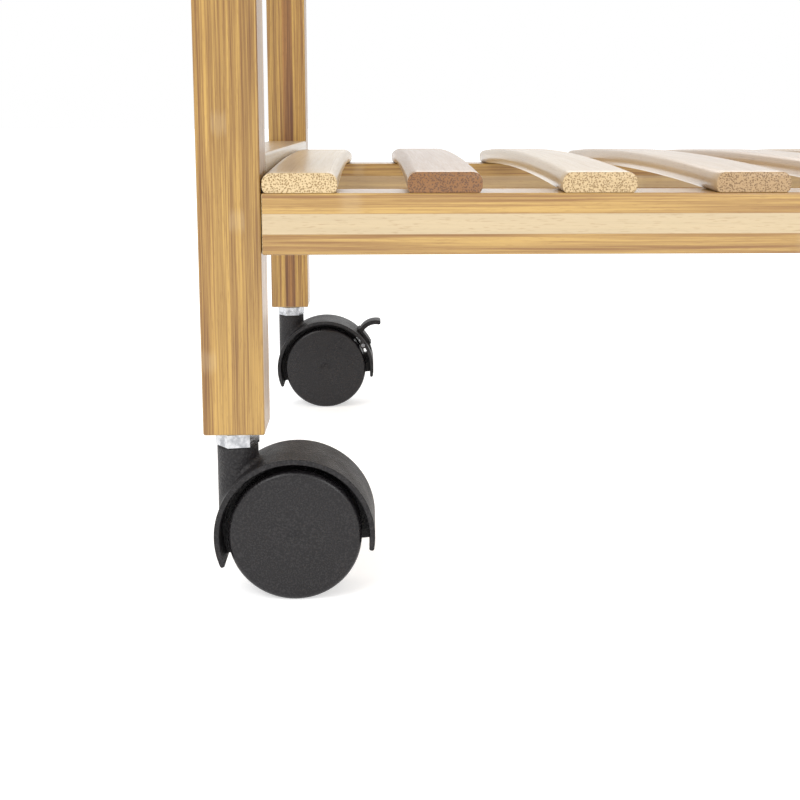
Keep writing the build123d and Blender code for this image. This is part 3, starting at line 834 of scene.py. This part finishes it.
def slat_row_tree() -> bpy.types.NodeTree:
    """Build the Geometry Nodes tree of a shelf's row of bowed, bullnosed slats.

    A slat stands on its own origin: its seat is at height 0 and its length runs along Y.

    Returns:
        The tree.
    """
    group = bpy.data.node_groups.new("slat_row", "GeometryNodeTree")
    for label, kind, default in (
        ("Count", INTEGER, 8), ("First X", FLOAT, 0.0), ("Pitch", FLOAT, 0.06), ("End Shift", FLOAT, 0.0),
        ("Seat Height", FLOAT, 0.0), ("Length", FLOAT, 0.3), ("Width", FLOAT, 0.03),
        ("Thickness", FLOAT, 0.009), ("Edge Radius", FLOAT, 0.003), ("End Height", FLOAT, 0.008),
        ("Bow", FLOAT, 0.004), ("Dark Slat", INTEGER, -1), ("Seed", INTEGER, 0),
        ("Material", "NodeSocketMaterial", None),
    ):
        socket = group.interface.new_socket(label, in_out="INPUT", socket_type=kind)
        if default is not None:
            socket.default_value = default
    group.interface.new_socket("Geometry", in_out="OUTPUT", socket_type="NodeSocketGeometry")
    tree = Tree(group)
    given = {socket.name: socket for socket in tree.add("NodeGroupInput").outputs if socket.name}
    result = tree.add("NodeGroupOutput").inputs[0]

    # One straight bar with rounded edges
    half = tree.math("MULTIPLY", given["Length"], 0.5)
    ends = []
    for sign in (-1.0, 1.0):
        end = tree.add("ShaderNodeCombineXYZ")
        tree.join(tree.math("MULTIPLY", half, sign), end.inputs[1])
        ends.append(end.outputs[0])
    line = tree.add("GeometryNodeCurvePrimitiveLine")
    tree.join(ends[0], line.inputs["Start"])
    tree.join(ends[1], line.inputs["End"])
    resampled = tree.add("GeometryNodeResampleCurve")
    tree.join(line.outputs[0], resampled.inputs["Curve"])
    resampled.inputs["Count"].default_value = SLAT_SPANS
    upright = tree.add("GeometryNodeSetCurveNormal", mode="Z_UP")
    tree.join(resampled.outputs[0], upright.inputs["Curve"])
    outline = tree.add("GeometryNodeCurvePrimitiveQuadrilateral")
    tree.join(given["Width"], outline.inputs["Width"])
    tree.join(given["Thickness"], outline.inputs["Height"])
    rounded = tree.add("GeometryNodeFilletCurve", mode="POLY")
    tree.join(outline.outputs[0], rounded.inputs["Curve"])
    tree.join(given["Edge Radius"], rounded.inputs["Radius"])
    rounded.inputs["Count"].default_value = EDGE_STEPS
    bar = tree.add("GeometryNodeCurveToMesh")
    tree.join(upright.outputs[0], bar.inputs["Curve"])
    tree.join(rounded.outputs[0], bar.inputs["Profile Curve"])
    bar.inputs["Fill Caps"].default_value = True

    # Bow it upwards, then flatten whatever falls below its seat
    place = tree.add("ShaderNodeSeparateXYZ")
    tree.join(tree.add("GeometryNodeInputPosition").outputs[0], place.inputs[0])
    share = tree.math("DIVIDE", place.outputs[1], half)
    fullness = tree.math("SUBTRACT", 1.0, tree.math("MULTIPLY", share, share))
    rise = tree.math("MULTIPLY", given["Bow"], fullness)
    top = tree.math("SUBTRACT", given["End Height"], tree.math("MULTIPLY", given["Thickness"], 0.5))
    height = tree.math("ADD", tree.math("ADD", place.outputs[2], top), rise)
    bowed = tree.add("ShaderNodeCombineXYZ")
    tree.join(place.outputs[0], bowed.inputs[0])
    tree.join(place.outputs[1], bowed.inputs[1])
    tree.join(tree.math("MAXIMUM", height, 0.0), bowed.inputs[2])
    shaped = tree.add("GeometryNodeSetPosition")
    tree.join(bar.outputs[0], shaped.inputs["Geometry"])
    tree.join(bowed.outputs[0], shaped.inputs["Position"])

    # Stand the row on the rails; the end slats sit a little off the even pitch
    index = tree.add("GeometryNodeInputIndex").outputs[0]
    last = tree.math("SUBTRACT", given["Count"], 1.0)
    shifts = tree.math("ADD", tree.math("GREATER_THAN", index, 0.5),
                       tree.math("GREATER_THAN", index, tree.math("SUBTRACT", last, 0.5)))
    column = tree.math("ADD", given["First X"], tree.math("ADD", tree.math("MULTIPLY", index, given["Pitch"]),
                                                         tree.math("MULTIPLY", shifts, given["End Shift"])))
    stand = tree.add("ShaderNodeCombineXYZ")
    tree.join(column, stand.inputs[0])
    tree.join(given["Seat Height"], stand.inputs[2])
    spots = tree.add("GeometryNodePoints")
    tree.join(given["Count"], spots.inputs["Count"])
    tree.join(stand.outputs[0], spots.inputs["Position"])
    thinner = tree.add("FunctionNodeRandomValue", data_type="FLOAT_VECTOR")
    thinner.inputs["Min"].default_value = LEAST_SLAT_SCALE
    thinner.inputs["Max"].default_value = (1.0, 1.0, 1.0)
    tree.join(given["Seed"], thinner.inputs["Seed"])
    row = tree.add("GeometryNodeInstanceOnPoints")
    tree.join(spots.outputs[0], row.inputs["Points"])
    tree.join(shaped.outputs[0], row.inputs["Instance"])
    tree.join(thinner.outputs[0], row.inputs["Scale"])

    # Each slat keeps one tone along its whole length
    tone = tree.add("FunctionNodeRandomValue", data_type="FLOAT")
    tone.inputs[2].default_value = PALEST_TONE
    tone.inputs[3].default_value = DARKEST_TONE
    tree.join(given["Seed"], tone.inputs["Seed"])
    is_dark = tree.math("COMPARE", index, given["Dark Slat"], 0.5)
    chosen = tree.math("MAXIMUM", is_dark, tone.outputs[1])
    stored = tree.add("GeometryNodeStoreNamedAttribute", domain="INSTANCE", data_type="FLOAT")
    tree.join(row.outputs[0], stored.inputs["Geometry"])
    stored.inputs["Name"].default_value = TONE
    tree.join(chosen, stored.inputs["Value"])
    realized = tree.add("GeometryNodeRealizeInstances")
    tree.join(stored.outputs[0], realized.inputs[0])
    painted = tree.add("GeometryNodeSetMaterial")
    tree.join(realized.outputs[0], painted.inputs["Geometry"])
    tree.join(given["Material"], painted.inputs["Material"])
    tree.join(painted.outputs[0], result)
    return group


BEVEL_FROM = math.radians(40)
SHARP_FROM = math.radians(50)


def grown_mesh(name: str, tree: bpy.types.NodeTree, settings: dict[str, object],
               edge: float) -> bpy.types.Object:
    """Run a Geometry Nodes tree and keep its result as a plain mesh object.

    Args:
        name: Name of the new object.
        tree: The tree.
        settings: Its inputs by name.
        edge: Width of the small bevel on sharp edges.

    Returns:
        The mesh object, with no modifiers.
    """
    seed_mesh = bpy.data.meshes.new(name + "_seed")
    carrier = bpy.data.objects.new(name + "_carrier", seed_mesh)
    bpy.context.scene.collection.objects.link(carrier)
    grower = carrier.modifiers.new("grow", "NODES")
    grower.node_group = tree
    for item in tree.interface.items_tree:
        if item.item_type == "SOCKET" and item.in_out == "INPUT" and item.name in settings:
            grower[item.identifier] = settings[item.name]
    softener = carrier.modifiers.new("soften", "BEVEL")
    softener.width = edge
    softener.segments = 2
    softener.limit_method = "ANGLE"
    softener.angle_limit = BEVEL_FROM
    graph = bpy.context.evaluated_depsgraph_get()
    mesh = bpy.data.meshes.new_from_object(carrier.evaluated_get(graph), depsgraph=graph)
    mesh.name = name
    mesh.set_sharp_from_angle(angle=SHARP_FROM)
    bpy.data.objects.remove(carrier)
    bpy.data.meshes.remove(seed_mesh)
    piece = bpy.data.objects.new(name, mesh)
    bpy.context.scene.collection.objects.link(piece)
    LOG.info("grew %s with %d faces", name, len(mesh.polygons))
    return piece


@dataclass
class SlatRow:
    """The slats of one shelf."""

    shelf: Shelf
    seed: int
    dark_slat: int
    tree: bpy.types.NodeTree
    count: int = 8
    width: float = 28.6 * MM
    thickness: float = 9.0 * MM
    edge_radius: float = 3.8 * MM
    end_height: float = 7.9 * MM
    bow: float = 4.0 * MM
    side_gap: float = 0.5 * MM
    first_space: float = 26.4 * MM
    arris: float = 0.3 * MM
    strip_width: float = 14.7 * MM

    def nodes(self) -> list[str]:
        """Return the CAD nodes that the row stands for."""
        start = self.shelf.value + "_slat"
        return [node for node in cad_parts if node.startswith(start)]

    def build(self) -> None:
        """Grow the row between the shelf's side rails and put it on the frame."""
        rail_low, rail_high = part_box(self.shelf.value + "_front_rail")
        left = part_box(self.shelf.value + "_left_rail")[1][0] + self.side_gap
        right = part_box(self.shelf.value + "_right_rail")[0][0] - self.side_gap
        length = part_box(self.shelf.value + "_rear_rail")[1][1] - rail_low[1]
        end_spaces = 2
        inner_room = right - left - self.count * self.width - end_spaces * self.first_space
        inner_space = inner_room / (self.count - 1 - end_spaces)
        finish = Bamboo("slat_bamboo", Grain.ALONG_Y_FLAT, paleness=0.85, strip_spread=0.06,
                        strip_width=self.strip_width, joint_strength=0.12, joint_spacing=0.31,
                        tone_attribute=TONE, coat=0.7)
        piece = grown_mesh(self.shelf.value + "_slat_row", self.tree, {
            "Count": self.count, "First X": left + self.width / 2, "Pitch": self.width + inner_space,
            "End Shift": self.first_space - inner_space, "Seat Height": rail_high[2], "Length": length,
            "Width": self.width, "Thickness": self.thickness, "Edge Radius": self.edge_radius,
            "End Height": self.end_height, "Bow": self.bow, "Dark Slat": self.dark_slat, "Seed": self.seed,
            "Material": finish.material(),
        }, self.arris)
        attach(piece, "frame")
        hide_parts(*self.nodes())


@dataclass(frozen=True)
class SoftLight:
    """One soft square light."""

    name: str
    place: Point
    size: float
    power: float


@dataclass
class Studio:
    """Ground, soft lights and the camera."""

    camera_place: Point = (-0.17516, -0.58919, 0.1883)
    camera_pitch: float = 9.0
    camera_yaw: float = 1.47
    camera_roll: float = 0.02
    lens: float = 50.43
    sensor: float = 36.0
    shift_up: float = -0.126
    sky: float = 1.0
    ground_size: float = 60.0
    lights: tuple[SoftLight, ...] = (
        SoftLight("key", (-1.3, -1.6, 1.9), 1.3, 23.0),
        SoftLight("fill", (0.9, -1.9, 1.0), 0.8, 11.0),
        SoftLight("back", (0.5, 2.2, 1.8), 1.6, 14.0),
    )
    aim: Point = (0.0, 0.0, 0.3)

    def build(self) -> None:
        """Make the ground, the sky, the lights and the camera."""
        self.make_ground()
        self.make_sky()
        for light in self.lights:
            self.make_light(light)
        self.make_camera()
        settings = bpy.context.scene.view_settings
        settings.view_transform = "Standard"
        settings.look = "None"
        settings.exposure = 0.0

    def make_ground(self) -> None:
        """Make the flat white ground."""
        half = self.ground_size / 2
        mesh = bpy.data.meshes.new("ground")
        corners = [(-half, -half, 0), (half, -half, 0), (half, half, 0), (-half, half, 0)]
        mesh.from_pydata(corners, [], [(0, 1, 2, 3)])
        ground = bpy.data.objects.new("ground", mesh)
        bpy.context.scene.collection.objects.link(ground)
        mesh.materials.append(StudioPaper("studio_paper").material())

    def make_sky(self) -> None:
        """Make the even white surroundings."""
        world = bpy.data.worlds.new("studio_sky")
        world.use_nodes = True
        background = world.node_tree.nodes["Background"]
        background.inputs["Color"].default_value = (1.0, 1.0, 1.0, 1.0)
        background.inputs["Strength"].default_value = self.sky
        bpy.context.scene.world = world

    def make_light(self, light: SoftLight) -> None:
        """Add one light, aimed at the lower half of the cart.

        Args:
            light: What it is and where it stands.
        """
        data = bpy.data.lights.new(light.name, "AREA")
        data.shape = "SQUARE"
        data.size = light.size
        data.energy = light.power
        lamp = bpy.data.objects.new(light.name, data)
        lamp.location = light.place
        lamp.rotation_mode = "QUATERNION"
        direction = Vector(self.aim) - Vector(light.place)
        lamp.rotation_quaternion = direction.to_track_quat("-Z", "Y")
        bpy.context.scene.collection.objects.link(lamp)

    def make_camera(self) -> None:
        """Stand the camera in front of the lower left corner."""
        data = bpy.data.cameras.new("camera")
        data.sensor_fit = "HORIZONTAL"
        data.sensor_width = self.sensor
        data.lens = self.lens
        data.shift_y = self.shift_up
        data.clip_start = 0.01
        camera = bpy.data.objects.new("camera", data)
        camera.location = self.camera_place
        camera.rotation_mode = "XYZ"
        camera.rotation_euler = (math.radians(90 - self.camera_pitch), math.radians(self.camera_roll),
                                 math.radians(-self.camera_yaw))
        bpy.context.scene.collection.objects.link(camera)
        bpy.context.scene.camera = camera


# The random seed and the number of the darkest slat of each shelf's row
ROW_PICKS = {Shelf.BOTTOM: (1077, 1), Shelf.MIDDLE: (11, 6), Shelf.TOP: (23, 3)}


def main() -> None:
    """Build the cart's looks, piece by piece."""
    logging.basicConfig(level=logging.INFO, format="%(name)s: %(message)s")
    bamboo_group()
    skin_group()
    metal_group()
    WoodFrame().build()
    row_tree = slat_row_tree()
    for shelf, (seed, dark_slat) in ROW_PICKS.items():
        SlatRow(shelf, seed, dark_slat, row_tree).build()
    Casters().build()
    Studio().build()


if __name__ == "__main__":
    main()
